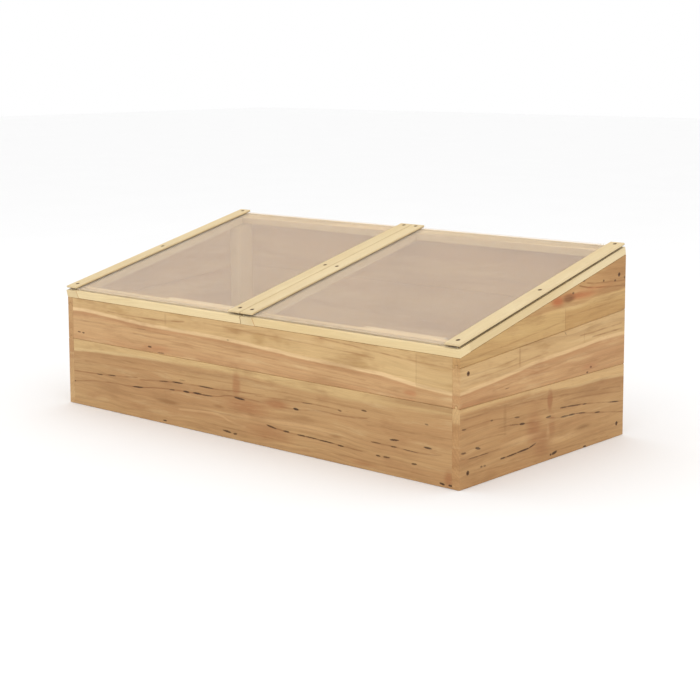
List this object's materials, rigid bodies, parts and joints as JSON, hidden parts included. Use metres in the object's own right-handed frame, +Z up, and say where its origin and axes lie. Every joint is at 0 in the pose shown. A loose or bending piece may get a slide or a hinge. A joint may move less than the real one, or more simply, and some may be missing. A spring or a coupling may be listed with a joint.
{
  "type": "cold frame",
  "caption": "Wooden cold frame: sloping board box with side-by-side hinged lids of translucent twin-wall sheet, screwed battens and swing-down props.",
  "frame": {"origin": "middle of the footprint, on the ground", "axes": "+X along the length, +Y to the high back wall with the hinges, +Z up"},
  "size_m": [1, 0.5099, 0.3599],
  "materials": {
    "wall_wood": "sawn and planed softwood, bare",
    "post_wood": "planed softwood, bare",
    "lid_wood": "planed pine, bare",
    "batten_wood": "planed pine, bare",
    "prop_wood": "planed pine, bare",
    "dowel_wood": "beech dowel",
    "screw_steel": "dark coated screws",
    "hinge_steel": "zinc plated",
    "sheet": "translucent twin-wall plastic"
  },
  "bodies": {
    "frame": {"front_lower_board": "wall_wood", "front_upper_board": "wall_wood", "back_lower_board": "wall_wood", "back_middle_board": "wall_wood", "back_upper_board": "wall_wood", "left_lower_board": "wall_wood", "left_middle_board": "wall_wood", "left_upper_board": "wall_wood", "right_lower_board": "wall_wood", "right_middle_board": "wall_wood", "right_upper_board": "wall_wood", "front_left_post": "post_wood", "front_right_post": "post_wood", "back_left_post": "post_wood", "back_right_post": "post_wood", "left_wall_screws": "screw_steel", "right_wall_screws": "screw_steel", "front_panel_screws": "screw_steel", "back_panel_screws": "screw_steel", "left_hinge_wall_leaves": "hinge_steel", "right_hinge_wall_leaves": "hinge_steel", "left_hinge_pins": "hinge_steel", "right_hinge_pins": "hinge_steel", "hinge_wall_screws": "screw_steel"},
    "left_lid": {"left_lid_front_rail": "lid_wood", "left_lid_back_rail": "lid_wood", "left_lid_outer_stile": "lid_wood", "left_lid_inner_stile": "lid_wood", "left_lid_dowels": "dowel_wood", "left_lid_sheet": "sheet", "left_lid_outer_batten": "batten_wood", "left_lid_inner_batten": "batten_wood", "left_lid_batten_screws": "screw_steel", "left_lid_hinge_leaves": "hinge_steel", "left_lid_hinge_screws": "screw_steel", "left_prop_pivot_screw": "hinge_steel", "left_prop_washer": "hinge_steel"},
    "left_prop": {"left_prop_stick": "prop_wood"},
    "right_lid": {"right_lid_front_rail": "lid_wood", "right_lid_back_rail": "lid_wood", "right_lid_inner_stile": "lid_wood", "right_lid_outer_stile": "lid_wood", "right_lid_dowels": "dowel_wood", "right_lid_sheet": "sheet", "right_lid_inner_batten": "batten_wood", "right_lid_outer_batten": "batten_wood", "right_lid_batten_screws": "screw_steel", "right_lid_hinge_leaves": "hinge_steel", "right_lid_hinge_screws": "screw_steel", "right_prop_pivot_screw": "hinge_steel", "right_prop_washer": "hinge_steel"},
    "right_prop": {"right_prop_stick": "prop_wood"}
  },
  "joints": [
    {"name": "left_lid_hinge", "type": "hinge", "parent": "frame", "child": "left_lid", "pos_m": [-0.25025, 0.2533, 0.3376], "axis": [-1, 0, 0], "range_deg": [0, 110]},
    {"name": "left_prop_pivot", "type": "hinge", "parent": "left_lid", "child": "left_prop", "pos_m": [-0.0605, -0.21779, 0.23325], "axis": [0, -0.9724, -0.2334], "range_deg": [0, 90]},
    {"name": "right_lid_hinge", "type": "hinge", "parent": "frame", "child": "right_lid", "pos_m": [0.25025, 0.2533, 0.3376], "axis": [-1, 0, 0], "range_deg": [0, 110]},
    {"name": "right_prop_pivot", "type": "hinge", "parent": "right_lid", "child": "right_prop", "pos_m": [0.44, -0.21779, 0.23325], "axis": [0, -0.9724, -0.2334], "range_deg": [0, 90]}
  ]
}
